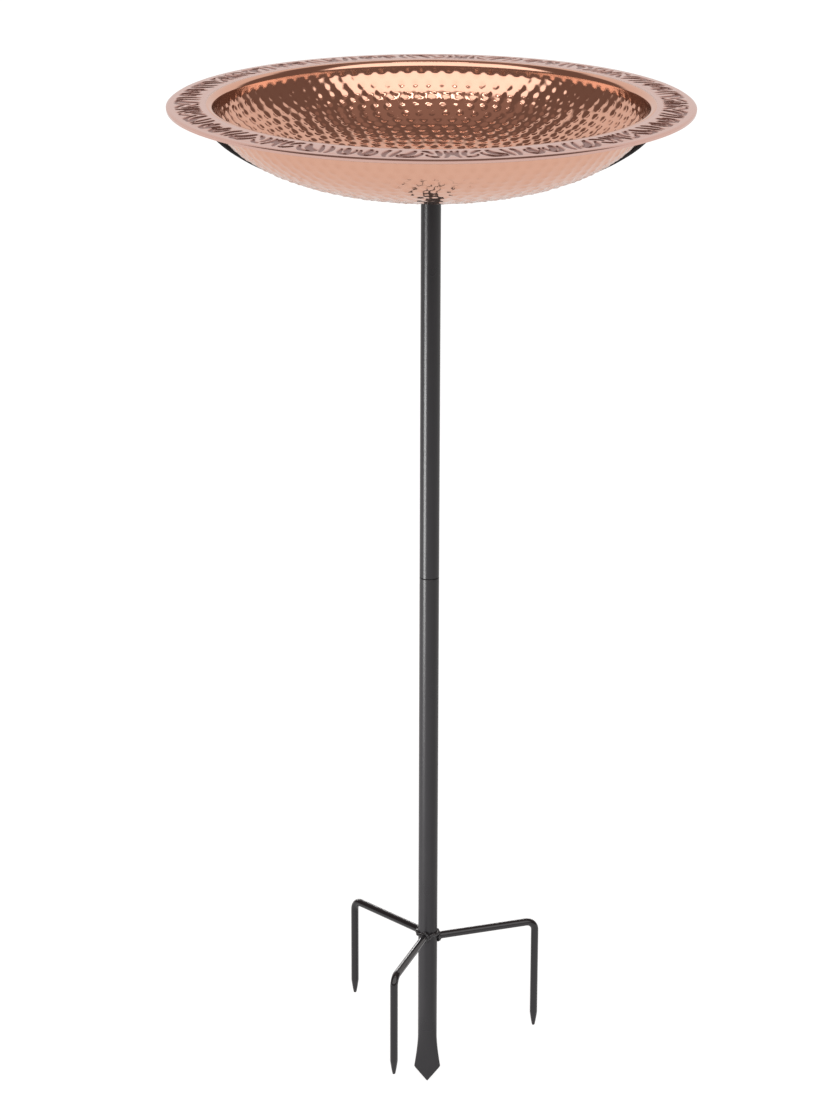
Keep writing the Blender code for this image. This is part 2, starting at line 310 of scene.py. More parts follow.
def run_tree(obj, tree, values):
    """Put a geometry tree on a piece, set its inputs, and turn the result into a plain mesh."""
    modifier = obj.modifiers.new(tree.name, "NODES")
    modifier.node_group = tree
    for item in tree.interface.items_tree:
        if item.in_out == "INPUT" and item.name in values:
            modifier[item.identifier] = values[item.name]
    bpy.context.view_layer.update()
    graph = bpy.context.evaluated_depsgraph_get()
    mesh = bpy.data.meshes.new_from_object(obj.evaluated_get(graph))
    name = obj.name
    obj.modifiers.clear()
    if obj.type != "MESH":
        place = add_object(name + "_mesh", mesh)
        bpy.data.objects.remove(obj)
        place.name = name
        obj = place
    else:
        old = obj.data
        obj.data = mesh
        bpy.data.meshes.remove(old)
    obj.data.name = name
    return obj


def add_object(name, data):
    obj = bpy.data.objects.new(name, data)
    SCENE.collection.objects.link(obj)
    return obj


def add_mesh(name, points, faces):
    mesh = bpy.data.meshes.new(name)
    mesh.from_pydata(points, [], faces)
    return add_object(name, mesh)


def face_outwards(obj):
    work = bmesh.new()
    work.from_mesh(obj.data)
    bmesh.ops.recalc_face_normals(work, faces=work.faces)
    work.to_mesh(obj.data)
    work.free()


def shade(obj, degrees=None):
    obj.data.shade_smooth()
    if degrees is not None:
        obj.data.set_sharp_from_angle(angle=radians(degrees))


# ==== ring meshes ====
RING_COUNTS = (12, 16, 24, 32, 48, 64, 96, 128, 192, 256, 384, 512, 768, 1024, 1536)


def ring_count(radius, spacing):
    """Number of points round a circle for about this spacing."""
    wanted = 2 * pi * radius / spacing
    return min(RING_COUNTS, key=lambda count: abs(log(max(wanted, 1.0) / count)))


def ring_points(radius, height, count):
    turns = [2 * pi * i / count for i in range(count)]
    return [(radius * cos(turn), radius * sin(turn), height) for turn in turns]


def ring_mesh(name, rings, looped=False):
    """A turned skin whose rings may hold different numbers of points.

    rings: (radius, height, count). A ring of count 1 is a pole.
    """
    points, starts, faces = [], [], []
    for radius, height, count in rings:
        starts.append(len(points))
        points += ring_points(radius, height, count)
    for first in range(len(rings) if looped else len(rings) - 1):
        second = (first + 1) % len(rings)
        faces += stitch(starts[first], rings[first][2], starts[second], rings[second][2])
    obj = add_mesh(name, points, faces)
    face_outwards(obj)
    return obj


def stitch(a, a_count, b, b_count):
    """Faces between two rings, in step where their counts match and by turns where they don't."""
    if a_count == 1 or b_count == 1:
        if a_count == 1:
            return [(a, b + i, b + (i + 1) % b_count) for i in range(b_count)]
        return [(a + i, b, a + (i + 1) % a_count) for i in range(a_count)]
    if a_count == b_count:
        return [(a + i, b + i, b + (i + 1) % b_count, a + (i + 1) % a_count) for i in range(a_count)]
    faces = []
    i = j = 0
    while i < a_count or j < b_count:
        if j == b_count or (i < a_count and (i + 1) * b_count <= (j + 1) * a_count):
            faces.append((a + i % a_count, b + j % b_count, a + (i + 1) % a_count))
            i += 1
        else:
            faces.append((a + i % a_count, b + j % b_count, b + (j + 1) % b_count))
            j += 1
    return faces


# ==== the sheet's middle line ====
def basin_depth_at(radius):
    return BASIN_DEPTH * sqrt(1.0 - (radius / BASIN_RADIUS) ** BASIN_POWER)


def basin_line():
    """Dense points along the basin and its shoulder, from the centre out to the flange."""
    steps = 400
    points = []
    for i in range(steps):
        radius = WALL_TOP_RADIUS * sin(0.5 * pi * i / steps)
        points.append((radius, RIM_HEIGHT - basin_depth_at(radius)))
    start_r, start_z = WALL_TOP_RADIUS, RIM_HEIGHT - basin_depth_at(WALL_TOP_RADIUS)
    step = 0.0002
    rise = basin_depth_at(WALL_TOP_RADIUS - step) - basin_depth_at(WALL_TOP_RADIUS)
    end_r, end_z = FLANGE_INNER_RADIUS, FLANGE_HEIGHT + FLANGE_CROWN
    corner_r = start_r + (end_z - start_z) * step / rise
    steps = 60
    for i in range(steps + 1):
        t = i / steps
        a, b, c = (1 - t) ** 2, 2 * t * (1 - t), t * t
        points.append((a * start_r + b * corner_r + c * end_r, a * start_z + b * end_z + c * end_z))
    return points


def flange_height_at(radius):
    """Height of the flange's middle, falling gently from its inner edge to the rolled edge."""
    across = (radius - FLANGE_INNER_RADIUS) / (CURL_CENTRE - FLANGE_INNER_RADIUS)
    return FLANGE_HEIGHT + FLANGE_CROWN * (1 - across)


def flange_line():
    points = []
    steps = 60
    for i in range(steps):
        radius = FLANGE_INNER_RADIUS + (CURL_CENTRE - FLANGE_INNER_RADIUS) * i / steps
        points.append((radius, flange_height_at(radius)))
    steps = 90
    for i in range(steps + 1):
        turn = radians(90.0 - CURL_TURN * i / steps)
        points.append((CURL_CENTRE + CURL_RADIUS * cos(turn), RIM_HEIGHT + CURL_RADIUS * sin(turn)))
    return points


def walk(line, spacing_at):
    """Points along a line, a local spacing apart: (r, z, tangent r, tangent z)."""
    lengths = [0.0]
    for a, b in zip(line, line[1:]):
        lengths.append(lengths[-1] + dist(a, b))
    stations = [0.0]
    while stations[-1] < lengths[-1]:
        stations.append(stations[-1] + spacing_at(point_at(line, lengths, stations[-1])[0]))
    stretch = lengths[-1] / stations[-1]
    return [point_at(line, lengths, s * stretch) for s in stations]


def point_at(line, lengths, s):
    """The point a length along a line, with its direction."""
    low = min(max(bisect.bisect_left(lengths, s) - 1, 0), len(lengths) - 2)
    span = lengths[low + 1] - lengths[low]
    t = min(max((s - lengths[low]) / span, 0.0), 1.0)
    a, b = line[low], line[low + 1]
    before, after = line[max(low - 1, 0)], line[min(low + 2, len(line) - 1)]
    run, rise = after[0] - before[0], after[1] - before[1]
    size = hypot(run, rise)
    return a[0] + (b[0] - a[0]) * t, a[1] + (b[1] - a[1]) * t, run / size, rise / size


def sheet_skin(name, line, top_spacing, under_spacing, pole):
    """A closed sheet of even thickness about a middle line, finer above than below.

    The rolled edge has a spacing of its own. Each point keeps the direction straight down through
    the sheet, which hammering follows.
    """
    rings, downs = [], []
    for side, spacing in ((1, top_spacing), (-1, under_spacing)):
        def spacing_at(r):
            return spacing if r < CURL_CENTRE else CURL_SPACING

        for r, z, run, rise in walk(line, spacing_at)[::side]:
            radius = r - side * rise * SHEET / 2
            height = z + side * run * SHEET / 2
            if pole and r < 0.0005:
                rings.append((0.0, height, 1))
            else:
                rings.append((radius, height, ring_count(radius, spacing_at(r))))
            downs.append((rise, -run))
    obj = ring_mesh(name, rings, looped=not pole)
    down = obj.data.attributes.new("down", "FLOAT_VECTOR", "POINT")
    values = []
    for ring, (out, up) in zip(rings, downs):
        for direction in ring_points(out, up, ring[2]):
            values += direction
    down.data.foreach_set("vector", values)
    return obj


# ==== hammering ====
def hammer_tree():
    """Rows of round strikes that follow a line from the basin's centre, sunk into the sheet."""
    tree, inputs, result = geometry_tree(
        "Hammering",
        ("Line", "NodeSocketObject"), ("Rows", INT), "First row", "Row pitch", "Spacing",
        "Strike radius", "Depth", "Lighter from", "Lighter to", "Wander", ("Seed", INT),
    )
    line = shape_of(tree, inputs["Line"])
    index = output(tree, "GeometryNodeInputIndex")
    along = calc(tree, "ADD", times(tree, index, inputs["Row pitch"]), inputs["First row"])
    sample = node(tree, "GeometryNodeSampleCurve", {"Curves": line, "Length": along}, mode="LENGTH")
    place = split(tree, sample.outputs["Position"])
    rows = output(tree, "GeometryNodePoints", {
        "Count": inputs["Rows"], "Position": joined(tree, z=place["Z"]),
    })
    spin = random_value(tree, 0.0, 2 * pi, inputs["Seed"])
    size = joined(tree, place["X"], place["X"], 1.0)
    placed = placed_on(tree, rows, circle(tree, 128, 1.0), joined(tree, z=spin), size)
    real = output(tree, "GeometryNodeRealizeInstances", {0: placed})
    even = even_curve(tree, real, inputs["Spacing"])
    marks = output(tree, "GeometryNodeCurveToPoints", {"Curve": even}, mode="EVALUATED")
    marks = moved(tree, marks, random_shift(tree, (1.0, 1.0, 0.3), inputs["Seed"], inputs["Wander"]))
    near = node(tree, "GeometryNodeProximity", {0: marks}, target_element="POINTS").outputs["Distance"]
    which = output(tree, "GeometryNodeSampleNearest", {"Geometry": marks}, domain="POINT")
    force = random_value(tree, *STRIKE_FORCE, inputs["Seed"], ID=which)
    reach = calc(tree, "MINIMUM", calc(tree, "DIVIDE", near, inputs["Strike radius"]), 1.0)
    bowl = calc(tree, "SUBTRACT", 1.0, times(tree, reach, reach))
    bowl = times(tree, bowl, bowl, force)
    height = split(tree, output(tree, "GeometryNodeInputPosition"))["Z"]
    lighter = ramp(tree, height, inputs["Lighter from"], inputs["Lighter to"], 1.0, 0.4)
    depth = times(tree, bowl, lighter, inputs["Depth"])
    down = output(tree, "GeometryNodeInputNamedAttribute", {"Name": "down"}, data_type="FLOAT_VECTOR")
    struck = moved(tree, inputs["Geometry"], scaled(tree, down, depth))
    return finish_tree(tree, inputs, result, keep_strike(tree, struck, bowl))


# ==== embossing ====
PATTERN_RADIUS = 0.190
PATTERN_REPEATS = 8
PATTERN_STEP = radians(42.0)
PATTERN_START = radians(-85.4) - 3 * PATTERN_STEP
CLOSING_TURN = PATTERN_START - PATTERN_STEP / 2 - (2 * pi - PATTERN_REPEATS * PATTERN_STEP) / 2
CLOSING_SHIFT = 29.7
SCROLL_STROKES = (              # four bend points (along, across) and the width, all in millimetres
    ((55.9, -4.0), (54.6, 13.0), (69.2, 13.0), (67.9, -4.0), 3.4),
    ((60.8, -7.5), (60.2, -1.5), (62.0, 2.5), (64.0, 4.8), 5.2),
    ((46.2, -8.6), (49.6, -3.5), (50.2, 4.0), (48.0, 9.0), 3.6),
    ((43.8, 9.0), (42.8, 3.0), (41.2, -2.0), (38.4, -8.8), 3.0),
)
GARLAND_STROKES = (
    ((39.6, 5.0), (37.0, 12.5), (25.5, 12.0), (21.8, -2.0), 4.0),
    ((37.4, 3.6), (32.6, 6.0), (29.4, -1.0), (27.4, -8.8), 5.8),
    ((22.0, -8.6), (19.0, -7.4), (15.8, -5.0), (14.2, -0.5), 3.2),
    ((18.6, 2.6), (16.6, 7.0), (13.2, 9.2), (9.8, 8.0), 2.8),
    ((11.4, -8.6), (9.0, -5.0), (8.0, 0.0), (9.6, 4.4), 3.8),
)
CENTRE_STROKES = (
    ((4.8, -8.6), (2.6, -3.0), (2.4, 3.0), (5.4, 9.0), 3.4),
    ((0.0, -8.8), (0.0, -5.0), (0.0, -1.0), (0.0, 2.6), 2.6),
)


def stroke_strip(bends, width):
    """A tapered strip on the flange along a bent line: its two sides in (along, across) metres."""
    steps = 14
    line = []
    for i in range(steps + 1):
        t = i / steps
        weights = ((1 - t) ** 3, 3 * t * (1 - t) ** 2, 3 * t * t * (1 - t), t ** 3)
        line.append([sum(w * bend[axis] for w, bend in zip(weights, bends)) / 1000 for axis in (0, 1)])
    sides = []
    for i, (u, v) in enumerate(line):
        before, after = line[max(i - 1, 0)], line[min(i + 1, steps)]
        run, rise = after[0] - before[0], after[1] - before[1]
        taper = 0.25 + 0.75 * sin(pi * (i / steps) ** 0.8) ** 0.7
        half = taper * (width / 1000 - STROKE_SOFTNESS) / 2 / hypot(run, rise)
        sides.append(((u - rise * half, v + run * half), (u + rise * half, v - run * half)))
    return sides


def border_piece(name, strokes):
    """Strokes and their mirror images as flat strips lying on the flange, centred on +X."""
    points, faces = [], []
    for *bends, width in strokes:
        for side in (1, -1):
            start = len(points)
            for pair in stroke_strip([(side * u, v) for u, v in bends], width):
                for u, v in pair:
                    turn, radius = u / PATTERN_RADIUS, PATTERN_RADIUS + v
                    place = (radius * cos(turn), radius * sin(turn), flange_height_at(radius))
                    points.append(place)
            for a in range(start, len(points) - 2, 2):
                faces.append((a, a + 1, a + 3, a + 2))
    return add_mesh(name, points, faces)


def emboss_tree():
    """A border repeated round the flange and closed by a short piece.

    Its strokes are sunk into a slightly raised ground.
    """
    tree, inputs, result = geometry_tree(
        "Embossing",
        ("Unit", "NodeSocketObject"), ("Repeats", INT), "Start", "Step",
        ("Closing piece", "NodeSocketObject"), "Closing turn", "Relief", "Sink", "Softness",
        "Inner radius", "Outer radius", "Margin",
    )
    unit = shape_of(tree, inputs["Unit"])
    index = output(tree, "GeometryNodeInputIndex")
    turn = calc(tree, "ADD", times(tree, index, inputs["Step"]), inputs["Start"])
    spots = output(tree, "GeometryNodePoints", {"Count": inputs["Repeats"]})
    placed = placed_on(tree, spots, unit, joined(tree, z=turn))
    closing = shape_of(tree, inputs["Closing piece"])
    closing = moved_whole(tree, closing, turn=joined(tree, z=inputs["Closing turn"]))
    border = join_geometry(tree, placed, closing)
    near = node(tree, "GeometryNodeProximity", {0: border}, target_element="FACES").outputs["Distance"]
    near = calc(tree, "SUBTRACT", near, SHEET / 2)
    stroke = ramp(tree, near, inputs["Softness"], 0.0, kind="SMOOTHSTEP")
    place = output(tree, "GeometryNodeInputPosition")
    radius = length(tree, calc_vector(tree, "MULTIPLY", place, (1.0, 1.0, 0.0)))
    inner_end = calc(tree, "ADD", inputs["Inner radius"], inputs["Margin"])
    outer_end = calc(tree, "SUBTRACT", inputs["Outer radius"], inputs["Margin"])
    inner = ramp(tree, radius, inputs["Inner radius"], inner_end, kind="SMOOTHSTEP")
    outer = ramp(tree, radius, inputs["Outer radius"], outer_end, kind="SMOOTHSTEP")
    ground = times(tree, inner, outer)
    drop = times(tree, stroke, calc(tree, "ADD", inputs["Relief"], inputs["Sink"]))
    rise = times(tree, ground, calc(tree, "SUBTRACT", inputs["Relief"], drop))
    pressed = moved(tree, inputs["Geometry"], joined(tree, z=rise))
    hollow = times(tree, ground, stroke)
    return finish_tree(tree, inputs, result, keep_strike(tree, pressed, hollow))


# ==== finishes ====
# darker copper shown only in glossy bounces: painted shade in the copper's reflections of itself
PAINTED_REFLECTION_COPPER = (0.68, 0.48, 0.39)
HOLLOW_ROUGHNESS = 0.15
BUMP_HEIGHT = 0.0003
COPPER_PEEL = 0.06
COPPER_SCALES = (22.0, 520.0)   # slow and fine unevenness, in waves per metre
PAINT_SLOW_SCALE = 30.0
METAL_SCALES = (60.0, 900.0)


def new_material(name):
    made = bpy.data.materials.new(name)
    made.use_nodes = True
    shader = made.node_tree.nodes["Principled BSDF"]
    return made, made.node_tree, shader


def uneven_group():
    """Slow and fine unevenness of a surface, for tint, roughness and bump."""
    tree, inputs, result = new_tree("Unevenness", "ShaderNodeTree",
                                    [("Slow scale", FLOAT), ("Fine scale", FLOAT)],
                                    [("Slow", FLOAT), ("Fine", FLOAT)])
    place = node(tree, "ShaderNodeTexCoord").outputs["Object"]
    slow = node(tree, "ShaderNodeTexNoise", {"Vector": place, "Scale": inputs["Slow scale"], "Detail": 3.0})
    fine = node(tree, "ShaderNodeTexNoise", {"Vector": place, "Scale": inputs["Fine scale"], "Detail": 2.0})
    tree.links.new(slow.outputs[0], result.inputs[0])
    tree.links.new(fine.outputs[0], result.inputs[1])
    return tree


UNEVEN = uneven_group()


def uneven(tree, slow_scale, fine_scale):
    """The unevenness group placed in a material with its own scales."""
    made = node(tree, "ShaderNodeGroup")
    made.node_tree = UNEVEN
    made.inputs["Slow scale"].default_value = slow_scale
    made.inputs["Fine scale"].default_value = fine_scale
    return made.outputs


def blend_colors(tree, factor, first, second):
    """Colours are plain triples or sockets."""
    mix = node(tree, "ShaderNodeMix", {0: factor}, data_type="RGBA")
    for index, color in ((6, first), (7, second)):
        if isinstance(color, bpy.types.NodeSocket):
            tree.links.new(color, mix.inputs[index])
        else:
            mix.inputs[index].default_value = (*color, 1.0)
    return mix.outputs[2]


def add_bump(tree, shader, height, strength):
    bump = node(tree, "ShaderNodeBump", {"Height": height, "Strength": strength, "Distance": BUMP_HEIGHT})
    tree.links.new(bump.outputs[0], shader.inputs["Normal"])


def copper_material(name, bright, dull, hollow, hollow_share, rough_low, rough_high):
    """Polished copper that dulls slowly over the sheet and darkens in its hollows.

    Where the sheet mirrors itself, the mirrored part takes a darker, less orange copper: painted shade in its
    own reflections.
    """
    made, tree, shader = new_material(name)
    parts = uneven(tree, *COPPER_SCALES)
    strike = node(tree, "ShaderNodeAttribute", attribute_name="strike").outputs["Fac"]
    depth = times(tree, strike, hollow_share)
    tint = blend_colors(tree, parts["Slow"], bright, dull)
    tint = blend_colors(tree, depth, tint, hollow)
    # glossy rays see the darker copper: painted shade in the copper's reflections
    mirrored = node(tree, "ShaderNodeLightPath").outputs["Is Glossy Ray"]
    tree.links.new(blend_colors(tree, mirrored, tint, PAINTED_REFLECTION_COPPER), shader.inputs["Base Color"])
    shader.inputs["Metallic"].default_value = 1.0
    rough = ramp(tree, parts["Slow"], 0.0, 1.0, rough_low, rough_high)
    rough = calc(tree, "ADD", rough, times(tree, depth, HOLLOW_ROUGHNESS))
    tree.links.new(rough, shader.inputs["Roughness"])
    add_bump(tree, shader, parts["Fine"], COPPER_PEEL)
    return made


def black_material(name, color, rough_low, rough_high, grain, peel, lacquer):
    """Black paint with a fine orange-peel."""
    made, tree, shader = new_material(name)
    parts = uneven(tree, PAINT_SLOW_SCALE, grain)
    lighter = tuple(channel * 1.3 for channel in color)
    tree.links.new(blend_colors(tree, parts["Slow"], color, lighter), shader.inputs["Base Color"])
    tree.links.new(ramp(tree, parts["Slow"], 0.0, 1.0, rough_low, rough_high), shader.inputs["Roughness"])
    shader.inputs["Coat Weight"].default_value = lacquer
    add_bump(tree, shader, parts["Fine"], peel)
    return made


def bare_metal(name, color, roughness):
    """Plated or turned metal, a little uneven in tint and shine."""
    made, tree, shader = new_material(name)
    parts = uneven(tree, *METAL_SCALES)
    darker = tuple(channel * 0.8 for channel in color)
    tree.links.new(blend_colors(tree, parts["Slow"], color, darker), shader.inputs["Base Color"])
    shader.inputs["Metallic"].default_value = 1.0
    rough = ramp(tree, parts["Fine"], 0.0, 1.0, roughness * 0.8, roughness * 1.2)
    tree.links.new(rough, shader.inputs["Roughness"])
    return made


COPPER = copper_material(
    "copper", bright=(0.95, 0.55, 0.40), dull=(0.91, 0.50, 0.36), hollow=(0.72, 0.33, 0.22),
    hollow_share=0.25, rough_low=0.05, rough_high=0.13,
)
# the flange's copper: paler and pinker than the basin's, with much darker hollows
FLANGE_COPPER = copper_material(
    "rubbed_copper", bright=(0.90, 0.59, 0.51), dull=(0.86, 0.54, 0.46), hollow=(0.26, 0.09, 0.07),
    hollow_share=0.90, rough_low=0.07, rough_high=0.15,
)
COAT = black_material(
    "black_powder_coat", color=(0.018, 0.017, 0.019), rough_low=0.25, rough_high=0.32, grain=900.0, peel=0.10,
    lacquer=0.0,
)
ROD_COAT = black_material(
    "black_gloss_coat", color=(0.012, 0.011, 0.013), rough_low=0.05, rough_high=0.10, grain=700.0, peel=0.05,
    lacquer=0.4,
)
ZINC = bare_metal("zinc_plate", (0.62, 0.62, 0.63), 0.32)
BRASS = bare_metal("brass", (0.78, 0.60, 0.30), 0.30)


def finish_piece(obj, finish, body, slot, *nodes):
    """Give a finished piece its material and its body, and hide the solids that it stands for. The slot is
    not used.
    """
    obj.data.materials.clear()
    obj.data.materials.append(finish)
    obj.data.polygons.foreach_set("material_index", [0] * len(obj.data.polygons))
    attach(obj, body)
    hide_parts(*nodes)


# ==== bowl ====
def make_basin():
    """The dished part, hammered in rows from just under its shoulder down to its centre."""
    line = basin_line()
    basin = sheet_skin("bowl_basin", line, BASIN_TOP_SPACING, BASIN_UNDER_SPACING, pole=True)
    hammered = [(r, z) for r, z in line if z < RIM_HEIGHT - TOP_ROW_DROP]
    reach = sum(dist(a, b) for a, b in zip(hammered, hammered[1:]))
    rows = int(reach / ROW_PITCH)
    guide = poly_line("basin_line", [(r, 0.0, z) for r, z in line])
    basin = run_tree(basin, hammer_tree(), {
        "Line": guide, "Rows": rows + 1, "First row": reach - rows * ROW_PITCH, "Row pitch": ROW_PITCH,
        "Spacing": MARK_SPACING, "Strike radius": MARK_RADIUS, "Depth": MARK_DEPTH,
        "Lighter from": LIGHTER_FROM, "Lighter to": LIGHTER_TO, "Wander": MARK_WANDER, "Seed": HAMMER_SEED,
        "Finish": COPPER,
    })
    bpy.data.objects.remove(guide)
    shade(basin)
    finish_piece(basin, COPPER, "bowl", "copper", "bowl")


def make_flange():
    """The flat rim with its embossed border and its edge rolled round the wire."""
    flange = sheet_skin("bowl_flange", flange_line(), FLANGE_TOP_SPACING, FLANGE_UNDER_SPACING, pole=False)
    unit = border_piece("border_unit", SCROLL_STROKES + GARLAND_STROKES + CENTRE_STROKES)
    shifted = []
    for *bends, width in SCROLL_STROKES:
        shifted.append((*[(u - CLOSING_SHIFT, v) for u, v in bends], width))
    closing = border_piece("border_closing", (*shifted, *CENTRE_STROKES))
    flange = run_tree(flange, emboss_tree(), {
        "Unit": unit, "Repeats": PATTERN_REPEATS, "Start": PATTERN_START, "Step": PATTERN_STEP,
        "Closing piece": closing, "Closing turn": CLOSING_TURN, "Relief": BORDER_RELIEF, "Sink": BORDER_SINK,
        "Softness": STROKE_SOFTNESS, "Inner radius": BORDER_INNER_RADIUS, "Outer radius": BORDER_OUTER_RADIUS,
        "Margin": BORDER_MARGIN, "Finish": FLANGE_COPPER,
    })
    bpy.data.objects.remove(unit)
    bpy.data.objects.remove(closing)
    shade(flange, 50)
    finish_piece(flange, FLANGE_COPPER, "bowl", "copper", "bowl")


# ==== paths ====
def poly_line(name, points):
    """A curve object of straight steps through the points, for a tree to follow."""
    data = bpy.data.curves.new(name, "CURVE")
    data.dimensions = "3D"
    spline = data.splines.new("POLY")
    spline.points.add(len(points) - 1)
    for point, place in zip(spline.points, points):
        point.co = (*place, 1.0)
    return add_object(name, data)


def smooth_line(points, steps):
    """Catmull-Rom curve through the points, with the ends drawn straight on."""
    first = (2 * points[0][0] - points[1][0], 2 * points[0][1] - points[1][1])
    last = (2 * points[-1][0] - points[-2][0], 2 * points[-1][1] - points[-2][1])
    knots = [first, *points, last]
    line = []
    for p0, p1, p2, p3 in zip(knots, knots[1:], knots[2:], knots[3:]):
        for i in range(steps):
            t = i / steps
            weights = (
                -t + 2 * t * t - t ** 3,
                2 - 5 * t * t + 3 * t ** 3,
                t + 4 * t * t - 3 * t ** 3,
                t ** 3 - t * t,
            )
            near = list(zip(weights, (p0, p1, p2, p3)))
            line.append(tuple(sum(weight * point[axis] / 2 for weight, point in near) for axis in (0, 1)))
    line.append(points[-1])
    return line


# ==== flat bar ====
def bar_tree():
    """A flat bar with rounded edges that follows a line, drilled on the pole's axis."""
    tree, inputs, result = geometry_tree(
        "Flat bar",
        "Width", "Thickness", "Edge", "Hole radius", "Level",
    )
    outline = output(tree, "GeometryNodeCurvePrimitiveQuadrilateral", {
        "Width": inputs["Width"], "Height": inputs["Thickness"],
    }, mode="RECTANGLE")
    outline = output(tree, "GeometryNodeFilletCurve", {
        "Curve": outline, "Count": 3, "Radius": inputs["Edge"],
    }, mode="POLY")
    upright = output(tree, "GeometryNodeSetCurveNormal", {"Curve": inputs["Geometry"]}, mode="Z_UP")
    bar = output(tree, "GeometryNodeCurveToMesh", {
        "Curve": upright, "Profile Curve": outline, "Fill Caps": True,
    })
    drill = node(tree, "GeometryNodeMeshCylinder", {
        "Vertices": 48, "Radius": inputs["Hole radius"],
        "Depth": times(tree, inputs["Thickness"], 3.0),
    }).outputs["Mesh"]
    drill = moved_whole(tree, drill, place=joined(tree, z=inputs["Level"]))
    drilled = output(tree, "GeometryNodeMeshBoolean", {"Mesh 1": bar, "Mesh 2": drill},
                   operation="DIFFERENCE", solver="EXACT")
    return finish_tree(tree, inputs, result, drilled)


def make_strap():
    """The bar that carries the bowl, bent to run under it from edge to edge."""
    bent = [(x, RIM_HEIGHT - drop) for x, drop in smooth_line(STRAP_BENDS, 6)]
    half = [(STRAP_FLAT_REACH, STRAP_LEVEL), *bent]
    line = [(-x, 0.0, z) for x, z in reversed(half)] + [(x, 0.0, z) for x, z in half]
    bar = run_tree(poly_line("cradle_bar", line), bar_tree(), {
        "Width": STRAP_WIDTH, "Thickness": STRAP_THICKNESS, "Edge": STRAP_EDGE,
        "Hole radius": STRAP_HOLE_RADIUS, "Level": STRAP_LEVEL, "Finish": COAT,
    })
    shade(bar, 40)
    finish_piece(bar, COAT, "cradle", "black_paint", "cradle_strap")


# ==== turned steel ====
def turned_tube(name, low, high, outside, inside, edge):
    """A tube with broken edges."""
    count = 96
    steps = 4
    rings = [(inside, low + edge), (inside + edge, low), (outside - edge, low), (outside, low + edge)]
    rings += [(outside, low + (high - low) * i / steps) for i in range(1, steps)]
    rings += [(outside, high - edge), (outside - edge, high), (inside + edge, high), (inside, high - edge)]
    tube = ring_mesh(name, [(r, z, count) for r, z in rings], looped=True)
    shade(tube, 30)
    return tube


def thread_tree():
    """A V thread cut into a round bar below its full size."""
    tree, inputs, result = geometry_tree(
        "Screw thread",
        "Full radius", "Pitch", "Depth", "Low", "High",
    )
    position = output(tree, "GeometryNodeInputPosition")
    place = split(tree, position)
    flat = calc_vector(tree, "MULTIPLY", position, (1.0, 1.0, 0.0))
    around = calc(tree, "DIVIDE", calc(tree, "ARCTAN2", place["Y"], place["X"]), 2 * pi)
    phase = calc(tree, "SUBTRACT", calc(tree, "DIVIDE", place["Z"], inputs["Pitch"]), around)
    wave = times(tree, calc(tree, "PINGPONG", phase, 0.5), 2.0)
    wave = ramp(tree, wave, 0.12, 0.85)
    near = calc(tree, "COMPARE", length(tree, flat), inputs["Full radius"], 0.00005)
    above = calc(tree, "GREATER_THAN", place["Z"], inputs["Low"])
    below = calc(tree, "LESS_THAN", place["Z"], inputs["High"])
    share = times(tree, near, above, below)
    cut = times(tree, wave, share, inputs["Depth"])
    inward = scaled(tree, calc_vector(tree, "NORMALIZE", flat), times(tree, cut, -1.0))
    threaded = moved(tree, inputs["Geometry"], inward)
    return finish_tree(tree, inputs, result, threaded)


THREAD = thread_tree()


def make_stud(name, low, high, head, finish, body, slot, cad_node):
    """A threaded bar from low to high, with a wide flat head on top where head is its radius."""
    edge = STUD_EDGE
    count = 48
    rings = [(0.0, low, 1), (THREAD_RADIUS * 0.5, low, count), (THREAD_RADIUS - edge, low, count)]
    top = high - STUD_HEAD if head else high - edge
    steps = int((top - low - edge) / THREAD_STEP)
    rings += [(THREAD_RADIUS, low + edge + (top - low - edge) * i / steps, count) for i in range(steps + 1)]
    if head:
        outline = [(THREAD_RADIUS + 0.0005, top), (head - 0.0003, top), (head, top + 0.0003),
                   (head, high - edge), (head - edge, high), (head * 0.5, high)]
    else:
        outline = [(THREAD_RADIUS - edge, high), (THREAD_RADIUS * 0.5, high)]
    rings += [(radius, height, count) for radius, height in outline]
    rings.append((0.0, high, 1))
    stud = run_tree(ring_mesh(name, rings), THREAD, {
        "Full radius": THREAD_RADIUS, "Pitch": THREAD_PITCH, "Depth": THREAD_DEPTH, "Low": low + 1.5 * edge,
        "High": top - edge, "Finish": finish,
    })
    shade(stud, 40)
    finish_piece(stud, finish, body, slot, cad_node)


def make_rim_wire():
    count = 384
    middle_z = (WIRE_LOW.z + WIRE_HIGH.z) / 2
    thick = (WIRE_HIGH.z - WIRE_LOW.z) / 2
    middle_r = WIRE_HIGH.x - thick
    turns = [2 * pi * i / 12 for i in range(12)]
    rings = [(middle_r + thick * cos(turn), middle_z + thick * sin(turn), count) for turn in turns]
    wire = ring_mesh("rolled_edge_wire", rings, looped=True)
    shade(wire)
    finish_piece(wire, ZINC, "bowl", "steel", "rim_wire")


def make_upper_pole():
    tube = turned_tube("pole_upper_tube", UPPER_LOW.z, UPPER_HIGH.z, TUBE_RADIUS, TUBE_BORE, TUBE_EDGE)
    finish_piece(tube, COAT, "upper_pole", "black_paint", "upper_tube")
    for name, body in (("top_sleeve", "upper_pole"), ("upper_joint_sleeve", "upper_pole"),
                       ("lower_joint_sleeve", "ground_stake")):
        low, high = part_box(name)
        sleeve = turned_tube(name + "_fine", low.z, high.z, SLEEVE_RADIUS, SLEEVE_BORE, SLEEVE_EDGE)
        finish_piece(sleeve, ZINC, body, "steel", name)


# ==== lower tube ====
def eased(t):
    t = min(max(t, 0.0), 1.0)
    return t * t * (3 - 2 * t)


